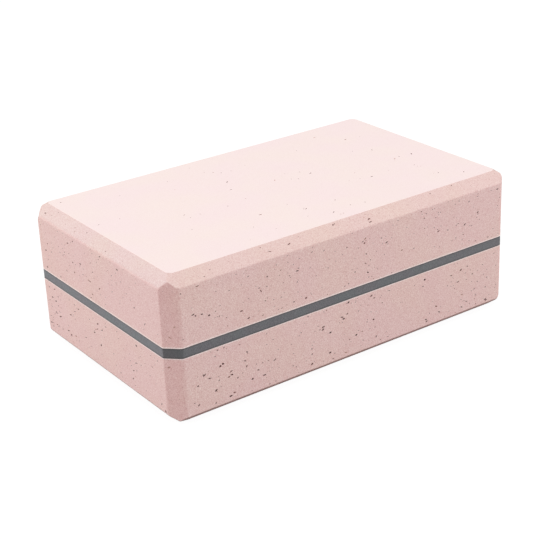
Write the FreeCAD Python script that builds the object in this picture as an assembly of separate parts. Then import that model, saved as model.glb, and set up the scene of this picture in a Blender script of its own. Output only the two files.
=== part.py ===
"""Laminated foam yoga block: two flecked foam slabs glued to a thin contrasting centre layer.

The bonded stack is trimmed as one piece, so every layer shares the same trimmed outline.
Millimetres, +Z up, +X along the length, origin at the middle of the resting face.
"""

import FreeCAD
import Part
import os

# Driving dimensions

BLOCK_LENGTH = 230.0
BLOCK_WIDTH = 140.0
SLAB_THICKNESS = 38.35
STRIPE_THICKNESS = 5.6
GLUE_THICKNESS = 0.15
RIM_INSET = 6.0
UPPER_RIM_HEIGHT = 6.0
LOWER_RIM_HEIGHT = 5.0
CORNER_CHAMFER = 7.0
EDGE_ROUND = 1.0
MITRE_ROUND = 6.0

# The stack from the floor up: node name and thickness of each layer

LAYERS = [
    ("lower_foam_slab", SLAB_THICKNESS),
    ("lower_glue_film", GLUE_THICKNESS),
    ("centre_stripe", STRIPE_THICKNESS),
    ("upper_glue_film", GLUE_THICKNESS),
    ("upper_foam_slab", SLAB_THICKNESS),
]
BLOCK_HEIGHT = sum(thickness for _, thickness in LAYERS)


def centred_box(length, width, height, base):
    """A box centred on the Z axis, standing on the height base."""
    corner = FreeCAD.Vector(-length / 2, -width / 2, base)
    return Part.makeBox(length, width, height, corner)


def prism(points, sweep):
    """The solid that a flat outline sweeps through."""
    outline = Part.makePolygon(points + points[:1])
    return Part.Face(outline).extrude(sweep)


def bevelled_section(half_span):
    """Upright section of the stack with its four rim bevels, as pairs of distance and height."""
    inner = half_span - RIM_INSET
    shoulder = BLOCK_HEIGHT - UPPER_RIM_HEIGHT
    return [
        (-inner, 0.0),
        (inner, 0.0),
        (half_span, LOWER_RIM_HEIGHT),
        (half_span, shoulder),
        (inner, BLOCK_HEIGHT),
        (-inner, BLOCK_HEIGHT),
        (-half_span, shoulder),
        (-half_span, LOWER_RIM_HEIGHT),
    ]


def bevelled_box():
    """The squared stack with its top and bottom rims bevelled, mitred at the corners."""
    half_length = BLOCK_LENGTH / 2
    half_width = BLOCK_WIDTH / 2
    end_view = [FreeCAD.Vector(-half_length, y, z) for y, z in bevelled_section(half_width)]
    side_view = [FreeCAD.Vector(x, -half_width, z) for x, z in bevelled_section(half_length)]
    lengthwise = prism(end_view, FreeCAD.Vector(BLOCK_LENGTH, 0.0, 0.0))
    widthwise = prism(side_view, FreeCAD.Vector(0.0, BLOCK_WIDTH, 0.0))
    return lengthwise.common(widthwise)


def chamfered_column():
    """An upright column of the block's plan, with its four corners chamfered."""
    half_length = BLOCK_LENGTH / 2
    half_width = BLOCK_WIDTH / 2
    inner_x = half_length - CORNER_CHAMFER
    inner_y = half_width - CORNER_CHAMFER
    plan = [
        (inner_x, -half_width),
        (half_length, -inner_y),
        (half_length, inner_y),
        (inner_x, half_width),
        (-inner_x, half_width),
        (-half_length, inner_y),
        (-half_length, -inner_y),
        (-inner_x, -half_width),
    ]
    points = [FreeCAD.Vector(x, y, 0.0) for x, y in plan]
    return prism(points, FreeCAD.Vector(0.0, 0.0, BLOCK_HEIGHT))


def trimmed_block():
    """The whole stack with its rims bevelled and its corners chamfered, still sharp."""
    return bevelled_box().common(chamfered_column()).removeSplitter().Solids[0]


def sharp_layer(block, base, thickness):
    """The slice of the sharp block from the height base, as one solid."""
    slab = centred_box(2 * BLOCK_LENGTH, 2 * BLOCK_WIDTH, thickness, base)
    return block.common(slab).removeSplitter().Solids[0]


def on_outer_face(height):
    """Whether a height is that of the block's top or bottom face."""
    return min(abs(height), abs(height - BLOCK_HEIGHT)) < Part.Precision.approximation()


def softening(edge):
    """Rounding radii at the two ends of an edge: widest where a mitre runs into a flat face."""
    ends = [edge.valueAt(edge.FirstParameter), edge.valueAt(edge.LastParameter)]
    flat = [on_outer_face(point.z) for point in ends]
    if flat[0] == flat[1]:
        return EDGE_ROUND, EDGE_ROUND
    return tuple(MITRE_ROUND if end else EDGE_ROUND for end in flat)


def is_glued(edge, base, thickness):
    """Whether an edge borders a glued face, where the layers meet flush and nothing is rounded."""
    if edge.BoundBox.ZLength > Part.Precision.approximation():
        return False
    height = edge.CenterOfMass.z
    from_joint = min(abs(height - base), abs(height - base - thickness))
    return from_joint < Part.Precision.approximation() and not on_outer_face(height)


def softened(name, sharp, base, thickness):
    """A layer with every edge of the trimmed outline rounded."""
    document = FreeCAD.newDocument(name)
    source = document.addObject("Part::Feature", "sharp")
    source.Shape = sharp
    rounded = document.addObject("Part::Fillet", "rounded")
    rounded.Base = source
    rounded.Edges = [
        (number, *softening(edge))
        for number, edge in enumerate(sharp.Edges, 1)
        if not is_glued(edge, base, thickness)
    ]
    document.recompute()
    return rounded.Shape.Solids[0]


def main():
    """Writes one STEP file for each layer of the stack."""
    os.makedirs("parts", exist_ok=True)
    block = trimmed_block()
    base = 0.0
    for name, thickness in LAYERS:
        sharp = sharp_layer(block, base, thickness)
        softened(name, sharp, base, thickness).exportStep(f"parts/{name}.step")
        base += thickness


main()
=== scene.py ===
"""A yoga block of flecked foam, modelled layer by layer and set in a plain studio.

Metres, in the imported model's frame: +X along the length, +Y across the width, +Z up, with the origin at the
middle of the resting face.
"""

import logging
import math
import random
from collections.abc import Callable, Iterator
from contextlib import contextmanager
from dataclasses import dataclass, field
from enum import Enum

import bpy
from mathutils import Matrix, Vector, noise


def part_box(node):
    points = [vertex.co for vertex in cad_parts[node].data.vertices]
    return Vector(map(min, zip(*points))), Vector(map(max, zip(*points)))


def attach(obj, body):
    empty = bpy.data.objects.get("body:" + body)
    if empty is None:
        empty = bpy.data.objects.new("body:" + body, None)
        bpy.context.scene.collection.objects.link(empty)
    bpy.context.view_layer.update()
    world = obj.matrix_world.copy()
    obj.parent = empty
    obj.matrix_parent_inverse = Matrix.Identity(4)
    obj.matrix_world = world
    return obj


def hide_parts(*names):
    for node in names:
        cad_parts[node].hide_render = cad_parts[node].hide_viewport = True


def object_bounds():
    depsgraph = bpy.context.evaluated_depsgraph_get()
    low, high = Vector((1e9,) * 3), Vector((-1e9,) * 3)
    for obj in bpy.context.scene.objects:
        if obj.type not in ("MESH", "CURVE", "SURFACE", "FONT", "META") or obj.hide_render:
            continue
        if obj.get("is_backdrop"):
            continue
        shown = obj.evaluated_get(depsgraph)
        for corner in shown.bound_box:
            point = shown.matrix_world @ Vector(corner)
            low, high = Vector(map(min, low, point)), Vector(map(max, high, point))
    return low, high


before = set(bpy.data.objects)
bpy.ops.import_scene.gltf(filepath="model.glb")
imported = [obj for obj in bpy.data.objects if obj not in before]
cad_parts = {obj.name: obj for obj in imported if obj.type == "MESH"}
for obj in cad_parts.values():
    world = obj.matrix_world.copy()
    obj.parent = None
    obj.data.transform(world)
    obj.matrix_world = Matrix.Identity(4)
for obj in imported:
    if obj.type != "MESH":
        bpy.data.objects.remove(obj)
CAD_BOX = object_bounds()

LOG = logging.getLogger("yoga_block")
MM = 0.001
CUT_THRESHOLD = 0.001 * MM
SAME_PLACE = 0.01 * MM
BODY = "root"
CORNERS = [(x, y) for x in (-1, 1) for y in (-1, 1)]
UP = Vector((0.0, 0.0, 1.0))
BAKE_MAP = "OFBake"

Colour = tuple[float, float, float]
Span = tuple[float, float]


class Slot(Enum):
    """The record's material slots."""

    FOAM = "flecked_foam"
    STRIPE = "stripe_foam"
    GLUE = "glue"


class Rim(Enum):
    """The flat face of a slab whose rim is bevelled, as the sign of its Z direction."""

    TOP = 1
    BOTTOM = -1


class Pick(Enum):
    """What a click picks in edit mode: vertices, edges or faces."""

    VERTICES = (True, False, False)
    EDGES = (False, True, False)
    FACES = (False, False, True)


class Bench:
    """The work bench: Blender's operators, used on one piece at a time."""

    @staticmethod
    def alone(piece: bpy.types.Object) -> None:
        """Select one piece and nothing else."""
        bpy.ops.object.select_all(action="DESELECT")
        piece.select_set(True)
        bpy.context.view_layer.objects.active = piece

    @staticmethod
    @contextmanager
    def editing(piece: bpy.types.Object, pick: Pick) -> Iterator[None]:
        """Hold one piece in edit mode, with the picking mode set.

        Args:
            piece: The piece to edit.
            pick: What is picked.
        """
        Bench.alone(piece)
        bpy.context.tool_settings.mesh_select_mode = pick.value
        bpy.ops.object.mode_set(mode="EDIT")
        yield
        bpy.ops.object.mode_set(mode="OBJECT")

    @staticmethod
    def block(name: str, low: Vector, high: Vector) -> bpy.types.Object:
        """Add a squared block between two corners.

        Args:
            name: The piece's name.
            low: Its lowest corner.
            high: Its highest corner.

        Returns:
            The new piece, with its place in its mesh.
        """
        bpy.ops.object.select_all(action="DESELECT")
        bpy.ops.mesh.primitive_cube_add(size=1.0, location=(low + high) / 2)
        piece = bpy.context.active_object
        piece.name = piece.data.name = name
        piece.scale = high - low
        bpy.ops.object.transform_apply(location=True, rotation=True, scale=True)
        return piece

    @staticmethod
    def shave(piece: bpy.types.Object, place: Vector, outward: Vector) -> None:
        """Cut away what lies beyond a plane, and close the cut.

        Args:
            piece: The piece to cut.
            place: A point on the plane.
            outward: The plane's direction towards what is cut away.
        """
        with Bench.editing(piece, Pick.FACES):
            bpy.ops.mesh.select_all(action="SELECT")
            bpy.ops.mesh.bisect(plane_co=place, plane_no=outward, use_fill=True, clear_outer=True,
                                threshold=CUT_THRESHOLD)

    @staticmethod
    def soften(piece: bpy.types.Object, sharpness: float, width: float, turns: int,
               spared: Callable[[Vector, Vector], bool]) -> None:
        """Round the sharp edges of a piece.

        Args:
            piece: The piece to soften.
            sharpness: The least angle in radians of an edge that is rounded.
            width: How far the rounding reaches into the faces beside an edge.
            turns: The number of steps across the rounding.
            spared: The test on an edge's ends that keeps it sharp.
        """
        with Bench.editing(piece, Pick.EDGES):
            bpy.ops.mesh.select_all(action="DESELECT")
            bpy.ops.mesh.edges_select_sharp(sharpness=sharpness)
        mesh = piece.data
        ends = [[mesh.vertices[i].co for i in edge.vertices] for edge in mesh.edges]
        chosen = [edge.select and not spared(*places) for edge, places in zip(mesh.edges, ends)]
        mesh.polygons.foreach_set("select", [False] * len(mesh.polygons))
        mesh.vertices.foreach_set("select", [False] * len(mesh.vertices))
        mesh.edges.foreach_set("select", chosen)
        with Bench.editing(piece, Pick.EDGES):
            bpy.ops.mesh.bevel(offset=width, segments=turns, affect="EDGES", clamp_overlap=False)

    @staticmethod
    def shade(piece: bpy.types.Object, sharpness: float) -> None:
        """Shade a piece smooth up to an angle, with flat faces left flat to the eye.

        Args:
            piece: The finished piece.
            sharpness: The angle in radians from which an edge stays sharp.
        """
        Bench.alone(piece)
        bpy.ops.object.shade_smooth_by_angle(angle=sharpness)
        even = piece.modifiers.new("even_normals", "WEIGHTED_NORMAL")
        even.keep_sharp = True
        bpy.ops.object.modifier_apply(modifier=even.name)


class Graph:
    """A node tree with short ways to add and join its nodes.

    A mix node's share and colours are found by their places among its sockets, because other kinds of value
    have sockets of the same names.
    """

    mix_inputs: tuple[int, int, int] = (0, 6, 7)
    mix_result: int = 2

    def __init__(self, tree: bpy.types.NodeTree) -> None:
        """Start on an emptied tree."""
        self.tree = tree
        tree.nodes.clear()

    def node(self, kind: str, **settings: object) -> bpy.types.Node:
        """Add a node.

        Args:
            kind: Its type, without the shader prefix.
            settings: Its properties.

        Returns:
            The new node.
        """
        made = self.tree.nodes.new(f"ShaderNode{kind}")
        for key, value in settings.items():
            setattr(made, key, value)
        return made

    def feed(self, target: bpy.types.NodeSocket, source: object) -> None:
        """Set a socket from a number or colour, or link it to another socket.

        Args:
            target: The input socket.
            source: The output socket, number or colour that it takes.
        """
        if isinstance(source, bpy.types.NodeSocket):
            self.tree.links.new(source, target)
        elif isinstance(source, tuple) and len(target.default_value) == 4:
            target.default_value = (*source, 1.0)
        else:
            target.default_value = source

    def math(self, operation: str, first: object, second: object = 0.0) -> bpy.types.NodeSocket:
        """Join two values.

        Args:
            operation: The arithmetic to do.
            first: A socket or number.
            second: A socket or number.

        Returns:
            The result's socket.
        """
        made = self.node("Math", operation=operation)
        self.feed(made.inputs[0], first)
        self.feed(made.inputs[1], second)
        return made.outputs[0]

    def fade(self, value: object, start: object, end: object, low: float = 0.0,
             high: float = 1.0) -> bpy.types.NodeSocket:
        """Turn a value into a smooth step.

        Args:
            value: The value to read.
            start: Where the step starts.
            end: Where it ends.
            low: The result before the step.
            high: The result after it.

        Returns:
            The result's socket.
        """
        made = self.node("MapRange", interpolation_type="SMOOTHSTEP")
        for socket, source in zip(made.inputs, (value, start, end, low, high)):
            self.feed(socket, source)
        return made.outputs[0]

    def blend(self, share: object, first: object, second: object,
              kind: str = "MIX") -> bpy.types.NodeSocket:
        """Mix two colours.

        Args:
            share: How much of the second colour is taken.
            first: The first colour.
            second: The second colour.
            kind: The way of mixing.

        Returns:
            The mixed colour's socket.
        """
        made = self.node("Mix", data_type="RGBA", blend_type=kind)
        for socket, source in zip(self.mix_inputs, (share, first, second)):
            self.feed(made.inputs[socket], source)
        return made.outputs[self.mix_result]

    def noise(self, place: object, scale: object, detail: float) -> bpy.types.NodeSocket:
        """Add soft noise.

        Args:
            place: The position to read it at.
            scale: Its waves per metre.
            detail: How many finer layers it has.

        Returns:
            The noise value's socket, about one half on average.
        """
        made = self.node("TexNoise")
        self.feed(made.inputs["Vector"], place)
        self.feed(made.inputs["Scale"], scale)
        made.inputs["Detail"].default_value = detail
        return made.outputs[0]

    def attribute(self, name: str) -> bpy.types.NodeSocket:
        """Read a value stored on the mesh."""
        return self.node("Attribute", attribute_name=name).outputs["Fac"]

    def place(self) -> bpy.types.NodeSocket:
        """Read the position on the piece, in metres."""
        return self.node("TexCoord").outputs["Object"]

    def off_level(self, place: bpy.types.NodeSocket, level: float) -> bpy.types.NodeSocket:
        """Measure how far a position lies above or below a level.

        Args:
            place: The position.
            level: The level's height.

        Returns:
            The distance's socket.
        """
        parts = self.node("SeparateXYZ")
        self.feed(parts.inputs[0], place)
        return self.math("ABSOLUTE", self.math("SUBTRACT", parts.outputs["Z"], level))

    def group(self, tree: bpy.types.NodeTree, **values: object) -> bpy.types.Node:
        """Place a node group.

        Args:
            tree: The group.
            values: What its inputs take, by name.

        Returns:
            The group's node.
        """
        made = self.node("Group", node_tree=tree)
        for key, value in values.items():
            self.feed(made.inputs[key], value)
        return made


class SharedEffect:
    """A node group that several finishes place with their own values."""

    def __init__(self, name: str, inputs: dict[str, str], outputs: list[str]) -> None:
        """Make the group's sockets.

        Args:
            name: The group's name.
            inputs: The socket type of each input, by name.
            outputs: The names of the outputs, which are all single values.
        """
        self.tree = bpy.data.node_groups.new(name, "ShaderNodeTree")
        for key, kind in inputs.items():
            self.tree.interface.new_socket(key, in_out="INPUT", socket_type=kind)
        for key in outputs:
            self.tree.interface.new_socket(key, in_out="OUTPUT", socket_type="NodeSocketFloat")
        self.graph = Graph(self.tree)
        self.taken = self.tree.nodes.new("NodeGroupInput").outputs
        self.given = self.tree.nodes.new("NodeGroupOutput").inputs


class FoamGrain(SharedEffect):
    """The fine cells and the broad unevenness of foam, as a shade to multiply by and a height.

    The cells are turned, so that no face of the block lies along them.
    """

    turn: tuple[float, float, float] = (0.4, 0.7, 0.3)
    fine_detail: float = 0.0
    broad_detail: float = 1.0
    mean: float = 0.5

    def __init__(self) -> None:
        """Lay out the group."""
        values = ("fine_scale", "fine_contrast", "broad_scale", "broad_contrast")
        sockets = {"position": "NodeSocketVector"} | dict.fromkeys(values, "NodeSocketFloat")
        super().__init__("foam_grain", sockets, ["shade", "height"])
        graph, taken = self.graph, self.taken
        turned = graph.node("Mapping")
        turned.inputs["Rotation"].default_value = self.turn
        graph.feed(turned.inputs["Vector"], taken["position"])
        fine = graph.noise(turned.outputs[0], taken["fine_scale"], self.fine_detail)
        broad = graph.noise(turned.outputs[0], taken["broad_scale"], self.broad_detail)
        shades = [
            graph.math("MULTIPLY", graph.math("SUBTRACT", wave, self.mean), taken[contrast])
            for wave, contrast in ((fine, "fine_contrast"), (broad, "broad_contrast"))
        ]
        graph.feed(self.given["shade"], graph.math("ADD", graph.math("ADD", *shades), 1.0))
        graph.feed(self.given["height"], fine)


class FineSpecks(SharedEffect):
    """Specks too small to be pieces, scattered through the foam and flattened in its sheet."""

    flattening: tuple[float, float, float] = (1.0, 1.0, 1.7)
    core_share: float = 0.5

    def __init__(self) -> None:
        """Lay out the group."""
        values = ("scale", "share", "radius")
        sockets = {"position": "NodeSocketVector"} | dict.fromkeys(values, "NodeSocketFloat")
        super().__init__("fine_specks", sockets, ["mask"])
        graph, taken = self.graph, self.taken
        squeezed = graph.node("Mapping")
        squeezed.inputs["Scale"].default_value = self.flattening
        graph.feed(squeezed.inputs["Vector"], taken["position"])
        cells = graph.node("TexVoronoi")
        graph.feed(cells.inputs["Vector"], squeezed.outputs[0])
        graph.feed(cells.inputs["Scale"], taken["scale"])
        chance = graph.node("SeparateColor")
        graph.feed(chance.inputs[0], cells.outputs["Color"])
        holds = graph.math("LESS_THAN", chance.outputs[0], taken["share"])
        core = graph.math("MULTIPLY", taken["radius"], self.core_share)
        spot = graph.fade(cells.outputs["Distance"], core, taken["radius"], 1.0, 0.0)
        graph.feed(self.given["mask"], graph.math("MULTIPLY", holds, spot))


class TintDrift(SharedEffect):
    """The slow drift of foam between two tints, as a share of the second."""

    detail: float = 1.0
    turning: Span = (0.3, 0.7)

    def __init__(self) -> None:
        """Lay out the group."""
        sockets = {"position": "NodeSocketVector", "scale": "NodeSocketFloat"}
        super().__init__("tint_drift", sockets, ["share"])
        wave = self.graph.noise(self.taken["position"], self.taken["scale"], self.detail)
        self.graph.feed(self.given["share"], self.graph.fade(wave, *self.turning))


@dataclass(frozen=True)
class Effects:
    """The node groups that the finishes share."""

    grain: FoamGrain = field(default_factory=FoamGrain)
    specks: FineSpecks = field(default_factory=FineSpecks)
    drift: TintDrift = field(default_factory=TintDrift)


@dataclass(frozen=True)
class Grain:
    """The grain of a finish: its waves per metre, their contrasts, and the depth and strength of relief."""

    fine_scale: float = 1500.0
    fine_contrast: float = 0.8
    broad_scale: float = 120.0
    broad_contrast: float = 0.2
    depth: float = 0.1 * MM
    strength: float = 0.4


@dataclass(frozen=True)
class Finish:
    """What every finish has: a name, its shared effects, a matt surface and its grain."""

    name: str
    effects: Effects
    roughness: float = 0.8
    specular: float = 0.05
    grain: Grain = Grain()

    def start(self) -> tuple[bpy.types.Material, Graph, bpy.types.Node]:
        """Make the material with its surface shader.

        Returns:
            The material, its graph and the surface shader's node.
        """
        material = bpy.data.materials.new(self.name)
        material.use_nodes = True
        graph = Graph(material.node_tree)
        surface = graph.node("BsdfPrincipled")
        surface.inputs["Roughness"].default_value = self.roughness
        surface.inputs["Specular IOR Level"].default_value = self.specular
        graph.feed(graph.node("OutputMaterial").inputs["Surface"], surface.outputs[0])
        return material, graph, surface

    def grained(self, graph: Graph, place: bpy.types.NodeSocket) -> bpy.types.Node:
        """Place the grain's node group.

        Args:
            graph: The material's graph.
            place: The position on the piece.

        Returns:
            The group's node, which gives the grain's shade and height.
        """
        look = self.grain
        return graph.group(self.effects.grain.tree, position=place, fine_scale=look.fine_scale,
                           fine_contrast=look.fine_contrast, broad_scale=look.broad_scale,
                           broad_contrast=look.broad_contrast)

    def bump(self, graph: Graph, surface: bpy.types.Node, height: bpy.types.NodeSocket) -> None:
        """Raise and lower the surface by the grain's relief.

        Args:
            graph: The material's graph.
            surface: The surface shader's node.
            height: The height's socket.
        """
        relief = graph.node("Bump")
        relief.inputs["Strength"].default_value = self.grain.strength
        relief.inputs["Distance"].default_value = self.grain.depth
        graph.feed(relief.inputs["Height"], height)
        graph.feed(surface.inputs["Normal"], relief.outputs[0])

    def cover(self, graph: Graph, surface: bpy.types.Node, colour: object) -> None:
        """Give the surface one colour, with the grain's shade and relief.

        Args:
            graph: The material's graph.
            surface: The surface shader's node.
            colour: The colour, or its socket.
        """
        grain = self.grained(graph, graph.place())
        shaded = graph.blend(1.0, colour, grain.outputs["shade"], "MULTIPLY")
        graph.feed(surface.inputs["Base Color"], shaded)
        self.bump(graph, surface, grain.outputs["height"])


@dataclass(frozen=True)
class FleckedFoam(Finish):
    """Pale foam with grain and fine specks: sawn sides; paler flat faces and bevels, partly the pressed skin
    and partly painted highlight; deeper corner facets and downward bevels as painted shade.
    """

    sawn: Colour = (0.80, 0.565, 0.535)
    # Painted highlight: the bevels, paler still at the ends, and the flat faces are paler than the sawn
    # sides; the flat faces' paleness is partly their pressed skin.
    bevelled: Colour = (0.765, 0.568, 0.53)
    end_bevel_highlight: Colour = (0.737, 0.568, 0.5415)
    skin_and_highlight: Colour = (0.90, 0.76, 0.74)
    # Painted shade: the corner facets take a deeper colour.
    corner: Colour = (0.81, 0.53, 0.50)
    sealed: Colour = (0.90, 0.75, 0.72)
    # Painted shade on the bevels that face down.
    under_shade: Colour = (0.70, 0.44, 0.41)
    peach: Colour = (1.0, 1.008, 0.99)
    rose: Colour = (1.0, 0.992, 1.006)
    speck: Colour = (0.30, 0.13, 0.11)
    seal_start: float = 0.1 * MM
    seal_depth: float = 0.7 * MM
    skin_span: Span = (0.93, 0.985)
    bevel_span: Span = (0.2, 0.6)
    end_span: Span = (0.3, 0.6)
    drift_scale: float = 38.0
    speck_scale: float = 900.0
    speck_share: float = 0.13
    speck_radius: float = 0.26
    skin_specks: float = 0.1
    sawn_specks: float = 0.6
    grain: Grain = Grain(fine_scale=1900.0, fine_contrast=0.66, broad_scale=45.0, broad_contrast=0.06,
                         depth=0.25 * MM, strength=0.25)
    grain_warmth: float = 0.5
    bevel_grain: float = 0.75
    skin_grain: float = 0.2
    full_grain: float = 0.8

    def joint_seal(self, graph: Graph, place: bpy.types.NodeSocket) -> bpy.types.NodeSocket:
        """Mark the foam's edges beside the joints, which the hot trimming sealed.

        Args:
            graph: The material's graph.
            place: The position on the piece.

        Returns:
            The mark's socket.
        """
        low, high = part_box("lower_glue_film")[0].z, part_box("upper_glue_film")[1].z
        off_middle = graph.off_level(place, (low + high) / 2)
        joint = (high - low) / 2
        return graph.fade(off_middle, joint + self.seal_start, joint + self.seal_depth, 1.0, 0.0)

    def warm_shade(self, graph: Graph, shade: bpy.types.NodeSocket) -> bpy.types.NodeSocket:
        """Turn the grain's shade into a colour to multiply by, redder in the hollows.

        Args:
            graph: The material's graph.
            shade: The grain's shade.

        Returns:
            The colour's socket.
        """
        colour = graph.node("CombineColor")
        kept = graph.math("MULTIPLY", shade, 1.0 - self.grain_warmth)
        graph.feed(colour.inputs["Red"], graph.math("ADD", kept, self.grain_warmth))
        graph.feed(colour.inputs["Green"], shade)
        graph.feed(colour.inputs["Blue"], shade)
        return colour.outputs[0]

    def material(self) -> bpy.types.Material:
        """Lay out the material."""
        material, graph, surface = self.start()
        place = graph.place()
        flatness = graph.attribute("flatness")
        skin = graph.fade(flatness, *self.skin_span)
        sawn = graph.math("SUBTRACT", 1.0, skin)
        grain = self.grained(graph, place)
        specks = graph.group(self.effects.specks.tree, position=place, scale=self.speck_scale,
                             share=self.speck_share, radius=self.speck_radius)
        # Painted shade: the corner facets take the deeper colour.
        upright = graph.blend(graph.attribute("corner"), self.sawn, self.corner)
        upright = graph.blend(self.joint_seal(graph, place), upright, self.sealed)
        # Painted highlight: the end bevels take a paler tint than the side bevels.
        at_end = graph.fade(graph.attribute("end"), *self.end_span)
        bevelled = graph.blend(at_end, self.bevelled, self.end_bevel_highlight)
        # Painted shade: the bevels that face down take a darker colour.
        under_shade_share = graph.fade(graph.attribute("under"), *self.bevel_span)
        bevelled = graph.blend(under_shade_share, bevelled, self.under_shade)
        cut = graph.blend(graph.fade(flatness, *self.bevel_span), upright, bevelled)
        drift = graph.group(self.effects.drift.tree, position=place, scale=self.drift_scale)
        tint = graph.blend(drift.outputs["share"], self.peach, self.rose)
        # The flat faces take the pressed skin's colour, which is partly painted highlight.
        tinted = graph.blend(1.0, graph.blend(skin, cut, self.skin_and_highlight), tint, "MULTIPLY")
        shaded = graph.blend(1.0, tinted, self.warm_shade(graph, grain.outputs["shade"]), "MULTIPLY")
        calmed = graph.fade(flatness, *self.bevel_span, 1.0, self.bevel_grain)
        rough = graph.fade(sawn, 0.0, self.full_grain, self.skin_grain, 1.0)
        grained = graph.blend(graph.math("MULTIPLY", rough, calmed), tinted, shaded)
        bared = graph.fade(sawn, 0.0, 1.0, self.skin_specks, self.sawn_specks)
        speckled = graph.math("MULTIPLY", specks.outputs["mask"], bared)
        graph.feed(surface.inputs["Base Color"], graph.blend(speckled, grained, self.speck))
        self.bump(graph, surface, graph.math("MULTIPLY", grain.outputs["height"], sawn))
        return material


@dataclass(frozen=True)
class StripeFoam(Finish):
    """Dark grey foam: painted sheen leaves its two ends lighter than its long sides, painted shade darkens
    its corner facets, and painted shade darkens it along its glued edges.
    """

    grey: Colour = (0.11, 0.1085, 0.1175)
    # Painted shade along the glued edges.
    edge_shade: Colour = (0.022, 0.019, 0.020)
    cool: Colour = (0.94, 1.03, 1.03)
    plum: Colour = (1.03, 0.97, 1.02)
    # Painted light: the long sides are darker than the ends, and the corner facets darker still.
    side_shade: float = 0.73
    corner_shade: float = 0.41
    edge_shade_depth: float = 1.15 * MM
    end_span: Span = (0.75, 0.95)
    corner_span: Span = (0.2, 0.9)
    drift_scale: float = 70.0
    grain: Grain = Grain(fine_contrast=1.1, broad_scale=60.0, broad_contrast=0.15, depth=0.2 * MM,
                         strength=0.3)

    def material(self) -> bpy.types.Material:
        """Lay out the material."""
        material, graph, surface = self.start()
        place = graph.place()
        grain = self.grained(graph, place)
        low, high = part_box("centre_stripe")
        half = (high.z - low.z) / 2
        # Painted shade along the glued edges.
        edge_shade_share = graph.fade(graph.off_level(place, (low.z + high.z) / 2), half - self.edge_shade_depth, half)
        drift = graph.group(self.effects.drift.tree, position=place, scale=self.drift_scale)
        tint = graph.blend(drift.outputs["share"], self.cool, self.plum)
        grey = graph.blend(edge_shade_share, graph.blend(1.0, self.grey, tint, "MULTIPLY"), self.edge_shade)
        # Painted light: the ends lighter than the long sides, the corner facets darker.
        side = graph.fade(graph.attribute("end"), *self.end_span, self.side_shade, 1.0)
        deepest = self.corner_shade / self.side_shade
        deeper = graph.fade(graph.attribute("corner"), *self.corner_span, 1.0, deepest)
        shade = graph.math("MULTIPLY", grain.outputs["shade"], graph.math("MULTIPLY", side, deeper))
        graph.feed(surface.inputs["Base Color"], graph.blend(1.0, grey, shade, "MULTIPLY"))
        self.bump(graph, surface, grain.outputs["height"])
        return material


@dataclass(frozen=True)
class DriedGlue(Finish):
    """A pale bead of dried glue."""

    pale: Colour = (0.90, 0.75, 0.72)
    grain: Grain = Grain(fine_scale=600.0, fine_contrast=0.2, broad_scale=90.0)

    def material(self) -> bpy.types.Material:
        """Lay out the material."""
        material, graph, surface = self.start()
        self.cover(graph, surface, self.pale)
        return material


@dataclass(frozen=True)
class GroundFlecks(Finish):
    """Ground flecks, from dark brown through tan to those half covered by the pressed skin."""

    tones: tuple[tuple[float, Colour], ...] = (
        (0.0, (0.052, 0.016, 0.0135)),
        (0.35, (0.15, 0.048, 0.039)),
        (0.6, (0.31, 0.145, 0.10)),
        (0.8, (0.54, 0.315, 0.265)),
        (1.0, (0.74, 0.53, 0.49)),
    )

    def material(self) -> bpy.types.Material:
        """Lay out the material."""
        material, graph, surface = self.start()
        ramp = graph.node("ValToRGB")
        stops = ramp.color_ramp.elements
        while len(stops) < len(self.tones):
            stops.new(1.0)
        for stop, (place, colour) in zip(stops, self.tones):
            stop.position = place
            stop.color = (*colour, 1.0)
        graph.feed(ramp.inputs[0], graph.attribute("tone"))
        self.cover(graph, surface, ramp.outputs[0])
        return material


@dataclass(frozen=True)
class CornerCut:
    """How an upright corner of the stack is cut off, and how far its upper and lower crowns are rounded."""

    chamfer: float = 7.0 * MM
    upper_crown: float = 4.3 * MM
    lower_crown: float = 4.3 * MM

    def crown_radius(self, rim: Rim) -> float:
        """Give the rounding of the crown at one rim, 0 where it stays crisp."""
        return self.upper_crown if rim is Rim.TOP else self.lower_crown


@dataclass(frozen=True)
class Trim:
    """How the glued stack is trimmed: the sizes that its layers share."""

    usual_corner: CornerCut = CornerCut()
    near_corner: CornerCut = CornerCut(upper_crown=0.0, lower_crown=0.0)
    left_corner: CornerCut = CornerCut(chamfer=6.0 * MM, upper_crown=7.0 * MM, lower_crown=3.0 * MM)
    edge_width: float = 0.45 * MM
    edge_turns: int = 3
    side_width: float = 1.3 * MM
    side_turns: int = 5
    edge_angle: float = math.radians(16.0)
    shade_angle: float = math.radians(30.0)

    def corner(self, x: int, y: int) -> CornerCut:
        """Give the cut of the corner on the sides of these signs along X and Y."""
        return {(-1, -1): self.near_corner, (-1, 1): self.left_corner}.get((x, y), self.usual_corner)


@dataclass(frozen=True)
class RimCut:
    """How the rim of a slab is bevelled, and how the mitres at its corners are softened."""

    inset: float = 6.0 * MM
    height: float = 6.0 * MM
    end_inset: float = 6.0 * MM
    end_height: float = 6.0 * MM
    soft_radius: float = 4.24 * MM
    soft_tip: float = 3.0 * MM
    soft_cuts: int = 5
    crown_cuts: int = 5

    def bevel(self, at_end: bool) -> tuple[float, float]:
        """Give the inset and the height of the bevel at an end or along a side."""
        return (self.end_inset, self.end_height) if at_end else (self.inset, self.height)


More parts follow.
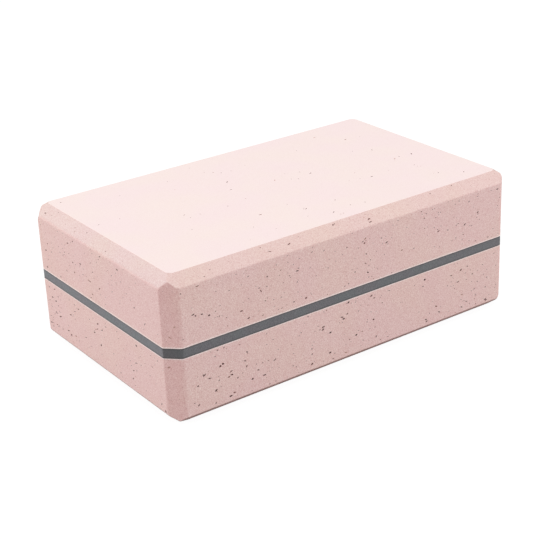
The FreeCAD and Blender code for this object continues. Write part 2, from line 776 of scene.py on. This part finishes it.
@dataclass
class Layer:
    """One layer of the stack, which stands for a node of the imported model."""

    name: str
    node: str
    slot: Slot
    trim: Trim = field(default_factory=Trim)
    piece: bpy.types.Object | None = None

    def box(self) -> tuple[Vector, Vector]:
        """Give the lowest and highest corners of the layer."""
        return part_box(self.node)

    def chamfer_corners(self) -> None:
        """Cut the four upright corners off."""
        low, high = self.box()
        for x, y in CORNERS:
            inset = self.trim.corner(x, y).chamfer / 2
            place = Vector((x * (high.x - inset), y * (high.y - inset), low.z))
            Bench.shave(self.piece, place, Vector((x, y, 0.0)))

    def joints(self) -> list[float]:
        """Give the heights of the glued faces."""
        return [corner.z for corner in self.box()]

    def on_joint(self, first: Vector, last: Vector) -> bool:
        """Tell whether an edge borders a glued face."""
        return any(max(abs(end.z - joint) for end in (first, last)) < SAME_PLACE for joint in self.joints())

    def stays_crisp(self, first: Vector, last: Vector) -> bool:
        """Tell whether an edge is any other than an upright one of the two long sides."""
        reach = self.box()[1].y
        return (last - first).xy.length > SAME_PLACE or abs(abs(first.y) - reach) > SAME_PLACE

    def soften_edges(self) -> None:
        """Round the edges: widest where the corners run into the long sides."""
        trim = self.trim
        Bench.soften(self.piece, trim.edge_angle, trim.side_width, trim.side_turns, self.stays_crisp)
        Bench.soften(self.piece, trim.edge_angle, trim.edge_width, trim.edge_turns, self.on_joint)

    def mark_faces(self) -> None:
        """Store how flat each face lies, how far it faces down, and how far it is an end or a corner."""
        mesh = self.piece.data
        normals = [face.normal for face in mesh.polygons]
        marks = {
            "flatness": [abs(normal.z) for normal in normals],
            "under": [max(-normal.z, 0.0) for normal in normals],
            "end": [abs(normal.x) for normal in normals],
            "corner": [2.0 * abs(normal.x * normal.y) for normal in normals],
        }
        for name, values in marks.items():
            mesh.attributes.new(name, "FLOAT", "FACE").data.foreach_set("value", values)

    def build(self) -> None:
        """Model the layer as a sheet with chamfered and softened corners."""
        self.piece = Bench.block(self.name, *self.box())
        self.chamfer_corners()
        self.soften_edges()

    def dress(self, material: bpy.types.Material) -> None:
        """Finish the layer and enter it in the frame.

        Args:
            material: The layer's material.
        """
        self.mark_faces()
        Bench.shade(self.piece, self.trim.shade_angle)
        self.piece.data.materials.append(material)
        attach(self.piece, BODY)
        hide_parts(self.node)
        LOG.info("%s: %d faces", self.name, len(self.piece.data.polygons))


@dataclass
class FoamLayer(Layer):
    """A layer of firm foam, as the dark sheet in the middle of the stack is."""

    fill: float = 1.0

    def dress(self, material: bpy.types.Material) -> None:
        """Finish the layer."""
        super().dress(material)


@dataclass
class GlueLine(Layer):
    """A glue film whose edge stands a little proud as a thin bead."""

    proud: float = 0.06 * MM

    def box(self) -> tuple[Vector, Vector]:
        """Give the corners of the film with its bead."""
        low, high = super().box()
        spread = Vector((self.proud, self.proud, 0.0))
        return low - spread, high + spread


@dataclass
class FoamSlab(FoamLayer):
    """A thick foam slab with one bevelled rim and soft corners."""

    rim: Rim = Rim.TOP
    cut: RimCut = RimCut()

    def rim_height(self) -> float:
        """Give the height of the flat face inside the bevelled rim."""
        low, high = self.box()
        return high.z if self.rim is Rim.TOP else low.z

    def joints(self) -> list[float]:
        """Give the height of the one glued face."""
        low, high = self.box()
        return [low.z if self.rim is Rim.TOP else high.z]

    def shoulder(self, at_end: bool) -> float:
        """Give the height at which the bevel of an end or a side starts."""
        return self.rim_height() - self.rim.value * self.cut.bevel(at_end)[1]

    def stays_crisp(self, first: Vector, last: Vector) -> bool:
        """Tell whether an edge is neither a wide upright one nor the shoulder of an end."""
        reach, level = self.box()[1].x, self.shoulder(at_end=True)
        gaps = [max(abs(abs(end.x) - reach), abs(end.z - level)) for end in (first, last)]
        return max(gaps) > SAME_PLACE and super().stays_crisp(first, last)

    def bevel_rim(self) -> None:
        """Bevel the four edges round the flat face."""
        high, sign = self.box()[1], self.rim.value
        for at_end, side in ((True, Vector((1.0, 0.0, 0.0))), (False, Vector((0.0, 1.0, 0.0)))):
            inset, height = self.cut.bevel(at_end)
            for out in (side, -side):
                place = out * side.dot(high) + UP * self.shoulder(at_end)
                Bench.shave(self.piece, place, (out * height + UP * sign * inset).normalized())

    def inward(self, x: int, y: int, place: tuple[float, float, float]) -> Vector:
        """Turn a place measured inwards from a corner of the rim into a point.

        Args:
            x: The corner's side along X, as a sign.
            y: The corner's side along Y, as a sign.
            place: The distances inwards along X and Y, and down from the flat face.

        Returns:
            The point in the frame.
        """
        high = self.box()[1]
        return Vector((
            x * (high.x - place[0]),
            y * (high.y - place[1]),
            self.rim_height() - self.rim.value * place[2],
        ))

    def soften_mitres(self) -> None:
        """Whittle each mitre of the rim into a cone, wide at the flat face and narrow at its tip."""
        cut = self.cut
        depth = cut.height * (1.0 - cut.soft_tip / cut.inset)
        end_tip = cut.end_inset * (1.0 - depth / cut.end_height)
        for x, y in CORNERS:
            tip = self.inward(x, y, (end_tip, cut.soft_tip, depth))
            out = Vector((x, y, self.rim.value))
            for step in range(1, cut.soft_cuts + 1):
                turn = math.pi / 2 * step / (cut.soft_cuts + 1)
                across, along = math.cos(turn), math.sin(turn)
                insets = ((cut.end_inset, across), (cut.inset, along))
                reach = [inset + cut.soft_radius * (1.0 - share) for inset, share in insets]
                start = self.inward(x, y, (*reach, 0.0))
                tangent = self.inward(x, y, (reach[0] + along, reach[1] - across, 0.0)) - start
                normal = tangent.cross(tip - start).normalized()
                Bench.shave(self.piece, start, normal if normal.dot(out) > 0.0 else -normal)

    def crown(self, x: int, y: int) -> Vector:
        """Give the point where two bevels of the rim meet the facet of a corner.

        Args:
            x: The corner's side along X, as a sign.
            y: The corner's side along Y, as a sign.

        Returns:
            The point in the frame.
        """
        cut = self.cut
        spare = cut.end_inset + cut.inset - self.trim.corner(x, y).chamfer
        depth = spare / (cut.end_inset / cut.end_height + cut.inset / cut.height)
        insets = [inset * (1.0 - depth / height) for inset, height in (cut.bevel(True), cut.bevel(False))]
        return self.inward(x, y, (*insets, depth))

    def soften_crowns(self) -> None:
        """Round the edges between the bevels and the facet of each corner."""
        cut = self.cut
        for x, y in CORNERS:
            radius = self.trim.corner(x, y).crown_radius(self.rim)
            if not radius:
                continue
            facet = Vector((x, y, 0.0)).normalized()
            for at_end, out in ((True, Vector((x, 0.0, 0.0))), (False, Vector((0.0, y, 0.0)))):
                inset, height = cut.bevel(at_end)
                bevel = (out * height + UP * self.rim.value * inset).normalized()
                middle = (facet + bevel).normalized()
                centre = self.crown(x, y) - middle * (radius / middle.dot(facet))
                for step in range(1, cut.crown_cuts + 1):
                    normal = facet.slerp(bevel, step / (cut.crown_cuts + 1))
                    Bench.shave(self.piece, centre + normal * radius, normal)

    def build(self) -> None:
        """Model the slab."""
        self.piece = Bench.block(self.name, *self.box())
        self.bevel_rim()
        self.chamfer_corners()
        self.soften_edges()
        self.soften_mitres()
        self.soften_crowns()


@dataclass(frozen=True)
class Patch:
    """A flat stretch of foam that shows flecks."""

    centre: Vector
    along: Vector
    across: Vector
    half_along: float
    half_across: float
    density: float
    veil: float = 0.0

    @property
    def outward(self) -> Vector:
        """The direction out of the foam."""
        return self.along.cross(self.across)


@dataclass(frozen=True)
class ChipSet:
    """The low irregular chips of unit size that the flecks are copied from."""

    kinds: int = 8
    corners: int = 8
    raggedness: float = 0.16
    wall: float = 0.8
    taper: float = 0.7
    map_foot: float = 0.75
    map_shrink: float = 0.15

    def model(self, seed: int) -> list[bpy.types.Object]:
        """Model the chips.

        Args:
            seed: The seed of the first chip's raggedness.

        Returns:
            The chips, each with a map and a place for its tone.
        """
        chips = []
        for number in range(self.kinds):
            bpy.ops.object.select_all(action="DESELECT")
            bpy.ops.mesh.primitive_circle_add(vertices=self.corners, radius=0.5, fill_type="NGON")
            chip = bpy.context.active_object
            with Bench.editing(chip, Pick.VERTICES):
                bpy.ops.mesh.select_all(action="SELECT")
                bpy.ops.transform.vertex_random(offset=self.raggedness, seed=seed + number)
                bpy.ops.transform.resize(value=(1.0, 1.0, 0.0))
                for rise in (self.wall, 1.0 - self.wall):
                    bpy.ops.mesh.extrude_region_move(TRANSFORM_OT_translate={"value": UP * rise})
                bpy.ops.transform.resize(value=(self.taper, self.taper, 1.0))
                bpy.ops.mesh.select_all(action="SELECT")
                bpy.ops.mesh.normals_make_consistent(inside=False)
            chip.data.attributes.new("tone", "FLOAT", "FACE")
            self.lay_flat(chip.data)
            chips.append(chip)
        return chips

    def lay_flat(self, mesh: bpy.types.Mesh) -> None:
        """Lay a chip out on its map as seen from above, its foot widest.

        Args:
            mesh: The chip's mesh.
        """
        chart = mesh.uv_layers.new(name=BAKE_MAP)
        for loop, spot in zip(mesh.loops, chart.data):
            place = mesh.vertices[loop.vertex_index].co
            spread = self.map_foot - self.map_shrink * place.z
            spot.uv = Vector((0.5, 0.5)) + spread * place.xy


@dataclass(frozen=True)
class FleckTones:
    """The tones of the flecks, from 0 for dark brown to 1 for the colour of the foam."""

    dark_share: float = 0.88
    dark_mean: float = 0.06
    dark_spread: float = 0.16
    dark_limit: float = 0.7
    tan: Span = (0.5, 0.85)

    def draw(self, chance: random.Random, veil: float) -> float:
        """Draw the tone of one fleck.

        Args:
            chance: The source of chance.
            veil: How far the foam's skin covers the fleck.

        Returns:
            The tone.
        """
        dark = min(max(chance.gauss(self.dark_mean, self.dark_spread), 0.0), self.dark_limit)
        tone = dark if chance.random() < self.dark_share else chance.uniform(*self.tan)
        return tone + (1.0 - tone) * veil


@dataclass
class Flecks:
    """The ground flecks that show in the faces of one slab.

    The density is their number on a square metre of a sawn side. The other faces have shares of it, and a
    veil tells how far a face's skin covers them.
    """

    name: str
    slab: FoamSlab
    seed: int
    steepness: float = 2.4
    density: float = 27000.0
    bevel_share: float = 0.36
    corner_share: float = 0.45
    skin_share: float = 0.09
    bevel_veil: float = 0.25
    corner_veil: float = 0.7
    skin_veil: float = 0.25
    least: float = 0.36 * MM
    most: float = 1.1 * MM
    stretch: Span = (1.3, 3.8)
    lean: float = 0.2
    lean_spread: float = 0.4
    reach_share: float = 0.6
    edge_margin: float = 0.5 * MM
    crowd_mean: float = 0.5
    crowd_swing: float = 0.7
    cluster_size: float = 32.0 * MM
    thickness: float = 0.20 * MM
    proud: float = 0.04 * MM
    chips: ChipSet = ChipSet()
    tones: FleckTones = FleckTones()
    piece: bpy.types.Object | None = None

    def mitre_room(self) -> float:
        """Give the room that the softened mitres take at each end of a rim."""
        cut = self.slab.cut
        return max(cut.inset, cut.end_inset) + cut.soft_radius

    def side_patches(self, turn: int) -> list[Patch]:
        """List the flat stretches at one of the slab's four sides.

        Args:
            turn: The side's number, in quarter turns from the front.

        Returns:
            The side's wall, its bevel and the facet of the corner after it.
        """
        slab, trim = self.slab, self.slab.trim
        high, sign, joint = slab.box()[1], slab.rim.value, slab.joints()[0]
        at_end = turn % 2 == 1
        reach, wide = (high.x, high.y) if at_end else (high.y, high.x)
        inset, height = slab.cut.bevel(at_end)
        shoulder = slab.shoulder(at_end)
        middle, half = (joint + shoulder) / 2, abs(shoulder - joint) / 2
        angle = math.pi / 2 * turn
        out = Vector((math.sin(angle), -math.cos(angle), 0.0))
        side = Vector((math.cos(angle), math.sin(angle), 0.0))
        wall = out * reach + UP * middle
        slope = UP * height - out * sign * inset
        bevel = out * (reach - inset / 2) + UP * (slab.rim_height() - sign * height / 2)
        diagonal = (out + side).normalized()
        chamfer = trim.corner(round(out.x + side.x), round(out.y + side.y)).chamfer
        facet = out * (reach - chamfer / 2) + side * (wide - chamfer / 2) + UP * middle
        return [
            Patch(wall, side, UP, wide - trim.usual_corner.chamfer, half, self.density),
            Patch(bevel, side, slope.normalized(), wide - self.mitre_room(), slope.length / 2,
                  self.density * self.bevel_share, self.bevel_veil),
            Patch(facet, UP.cross(diagonal), UP, chamfer / math.sqrt(2.0), half,
                  self.density * self.corner_share, self.corner_veil),
        ]

    def face_patch(self) -> Patch:
        """Give the flat face inside the rim."""
        slab, room = self.slab, self.mitre_room()
        high, across = slab.box()[1], Vector((0.0, float(slab.rim.value), 0.0))
        return Patch(UP * slab.rim_height(), Vector((1.0, 0.0, 0.0)), across, high.x - room, high.y - room,
                     self.density * self.skin_share, self.skin_veil)

    def patches(self) -> list[Patch]:
        """List the flat stretches of the slab."""
        sides = [patch for turn in range(len(CORNERS)) for patch in self.side_patches(turn)]
        return [*sides, self.face_patch()]

    def scatter(self, patch: Patch, chance: random.Random) -> Iterator[tuple[Matrix, float]]:
        """Choose the flecks of one patch.

        Args:
            patch: The stretch of foam.
            chance: The source of chance.

        Yields:
            The place of each fleck, with its size in it, and its tone.
        """
        count = round(patch.density * 4.0 * patch.half_along * patch.half_across)
        while count > 0:
            size = min(self.least * chance.random() ** (-1.0 / self.steepness), self.most)
            stretch = math.sqrt(chance.uniform(*self.stretch))
            long_side, short_side = size * stretch, size / stretch
            margin = self.reach_share * long_side + self.edge_margin
            u = chance.uniform(-1.0, 1.0) * (patch.half_along - margin)
            v = chance.uniform(-1.0, 1.0) * (patch.half_across - margin)
            spot = patch.centre + patch.along * u + patch.across * v
            wave = noise.noise(spot / self.cluster_size + Vector((self.seed, 0.0, 0.0)))
            if chance.random() > self.crowd_mean + self.crowd_swing * wave:
                continue
            count -= 1
            spin = Matrix.Rotation(chance.gauss(self.lean, self.lean_spread), 4, "Z")
            axes = Matrix((patch.along, patch.across, patch.outward)).transposed().to_4x4()
            sunk = spot + patch.outward * (self.proud - self.thickness)
            shape = Matrix.Diagonal((long_side, short_side, self.thickness, 1.0))
            yield Matrix.Translation(sunk) @ axes @ spin @ shape, self.tones.draw(chance, patch.veil)

    def build(self) -> None:
        """Copy the flecks to their places and join them into one piece."""
        chance = random.Random(self.seed)
        chips = self.chips.model(self.seed)
        chosen = [fleck for patch in self.patches() for fleck in self.scatter(patch, chance)]
        cells = math.ceil(math.sqrt(len(chosen)))
        copies = []
        for number, (place, tone) in enumerate(chosen):
            fleck = chance.choice(chips).copy()
            fleck.data = fleck.data.copy()
            fleck.data.transform(place)
            tones = fleck.data.attributes["tone"].data
            tones.foreach_set("value", [tone] * len(tones))
            corner = Vector((number % cells, number // cells))
            for spot in fleck.data.uv_layers[BAKE_MAP].data:
                spot.uv = (corner + spot.uv) / cells
            bpy.context.collection.objects.link(fleck)
            copies.append(fleck)
        bpy.ops.object.select_all(action="DESELECT")
        for fleck in copies:
            fleck.select_set(True)
        self.piece = copies[0]
        bpy.context.view_layer.objects.active = self.piece
        bpy.ops.object.join()
        self.piece.name = self.piece.data.name = self.name
        for chip in chips:
            bpy.data.objects.remove(chip)
        LOG.info("%s: %d flecks", self.name, len(copies))

    def dress(self, material: bpy.types.Material) -> None:
        """Finish the flecks and enter them in the frame.

        Args:
            material: The flecks' material.
        """
        self.piece.data.materials.append(material)
        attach(self.piece, BODY)


@dataclass(frozen=True)
class Softbox:
    """A large soft studio lamp aimed at the block."""

    name: str
    place: tuple[float, float, float]
    size: float
    power: float
    aim: tuple[float, float, float] = (0.0, 0.0, 0.04)

    def build(self) -> None:
        """Hang the lamp."""
        away = Vector(self.place) - Vector(self.aim)
        turn = away.to_track_quat("Z", "Y").to_euler()
        bpy.ops.object.light_add(type="AREA", location=self.place, rotation=turn)
        lamp = bpy.context.active_object
        lamp.name = lamp.data.name = self.name
        lamp.data.shape = "SQUARE"
        lamp.data.size = self.size
        lamp.data.energy = self.power
        LOG.info("%s: lamp", self.name)


@dataclass
class Studio:
    """The floor, the lamps, the white surroundings and the camera.

    The camera's turn is in degrees, and its lens and sensor are in millimetres.
    """

    camera_place: tuple[float, float, float] = (-0.41278, -0.58704, 0.35287)
    camera_turn: tuple[float, float, float] = (65.8257, 2.3286, -35.8459)
    lens: float = 91.382
    sensor: float = 36.0
    nearest: float = 0.01
    floor_size: float = 8.0
    floor_gap: float = 0.1 * MM
    floor_grey: float = 0.15
    floor_pale: float = 0.12
    floor_glow: float = 0.93
    ambient: float = 0.886
    softboxes: tuple[Softbox, ...] = (
        Softbox("left_softbox", (-1.5, 0.7, 0.5), 1.0, 13.3),
        Softbox("right_softbox", (0.8, -1.5, 0.5), 1.0, 11.2),
    )

    def seen(self, graph: Graph) -> bpy.types.NodeSocket:
        """Tell rays from the camera, straight or by gloss or glass, from those that light the block."""
        rays = graph.node("LightPath").outputs
        straight = graph.math("MAXIMUM", rays["Is Camera Ray"], rays["Is Glossy Ray"])
        return graph.math("MAXIMUM", straight, rays["Is Transmission Ray"])

    def floor(self) -> None:
        """Lay the floor, white to the eye and grey to the light that it throws back."""
        bpy.ops.object.select_all(action="DESELECT")
        bpy.ops.mesh.primitive_plane_add(size=self.floor_size, location=(0.0, 0.0, -self.floor_gap))
        floor = bpy.context.active_object
        floor.name = floor.data.name = "studio_floor"
        bpy.ops.object.transform_apply(location=True, rotation=True, scale=True)
        material = bpy.data.materials.new("studio_floor")
        material.use_nodes = True
        graph = Graph(material.node_tree)
        grey = graph.node("BsdfDiffuse")
        graph.feed(grey.inputs["Color"], (self.floor_grey,) * 3)
        glow = graph.node("Emission")
        glow.inputs["Strength"].default_value = self.floor_glow
        pale = graph.node("BsdfDiffuse")
        graph.feed(pale.inputs["Color"], (self.floor_pale,) * 3)
        bright = graph.node("AddShader")
        graph.feed(bright.inputs[0], glow.outputs[0])
        graph.feed(bright.inputs[1], pale.outputs[0])
        either = graph.node("MixShader")
        graph.feed(either.inputs[0], self.seen(graph))
        graph.feed(either.inputs[1], grey.outputs[0])
        graph.feed(either.inputs[2], bright.outputs[0])
        graph.feed(graph.node("OutputMaterial").inputs["Surface"], either.outputs[0])
        floor.data.materials.append(material)
        floor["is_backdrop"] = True

    def surroundings(self) -> None:
        """Make the world white to the eye and a weak even light to the block."""
        world = bpy.data.worlds.new("studio")
        bpy.context.scene.world = world
        world.use_nodes = True
        graph = Graph(world.node_tree)
        sky = graph.node("Background")
        graph.feed(sky.inputs["Strength"], graph.fade(self.seen(graph), 0.0, 1.0, self.ambient, 1.0))
        graph.feed(sky.inputs["Color"], (1.0, 1.0, 1.0))
        graph.feed(graph.node("OutputWorld").inputs["Surface"], sky.outputs[0])

    def camera(self) -> None:
        """Set the camera where the photograph was taken from."""
        turn = [math.radians(angle) for angle in self.camera_turn]
        bpy.ops.object.camera_add(location=self.camera_place, rotation=turn)
        camera = bpy.context.active_object
        camera.name = camera.data.name = "photo_camera"
        camera.data.lens = self.lens
        camera.data.sensor_width = self.sensor
        camera.data.sensor_fit = "HORIZONTAL"
        camera.data.clip_start = self.nearest
        bpy.context.scene.camera = camera

    def build(self) -> None:
        """Set the studio up."""
        bpy.context.scene.view_settings.view_transform = "Standard"
        self.floor()
        self.surroundings()
        for softbox in self.softboxes:
            softbox.build()
        self.camera()


def write_sizes() -> None:
    """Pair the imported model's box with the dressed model's box."""
    boxes = {"cad": CAD_BOX, "visual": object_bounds()}
    {name: [list(corner) for corner in box] for name, box in boxes.items()}


def main() -> None:
    """Build the block from the floor up, then the studio round it."""
    logging.basicConfig(level=logging.INFO, format="%(name)s %(message)s")
    effects = Effects()
    foam = FleckedFoam("flecked_foam", effects).material()
    stripe_foam = StripeFoam("stripe_foam", effects, roughness=0.55, specular=0.9).material()
    glue = DriedGlue("dried_glue", effects).material()
    ground = GroundFlecks("ground_flecks", effects, roughness=0.7, specular=0.1).material()
    lower_cut = RimCut(height=5.0 * MM, end_inset=8.0 * MM, soft_tip=2.3 * MM)
    lower = FoamSlab("lower_slab", "lower_foam_slab", Slot.FOAM, rim=Rim.BOTTOM, cut=lower_cut)
    upper = FoamSlab("upper_slab", "upper_foam_slab", Slot.FOAM, rim=Rim.TOP)
    stack = [
        (lower, foam),
        (GlueLine("lower_glue_line", "lower_glue_film", Slot.GLUE), glue),
        (FoamLayer("stripe_sheet", "centre_stripe", Slot.STRIPE), stripe_foam),
        (GlueLine("upper_glue_line", "upper_glue_film", Slot.GLUE), glue),
        (upper, foam),
        (Flecks("lower_flecks", lower, seed=11, steepness=1.9, most=1.2 * MM, density=29000.0), ground),
        (Flecks("upper_flecks", upper, seed=47), ground),
    ]
    for part, material in stack:
        part.build()
        part.dress(material)
    Studio().build()
    write_sizes()


if __name__ == "__main__":
    main()
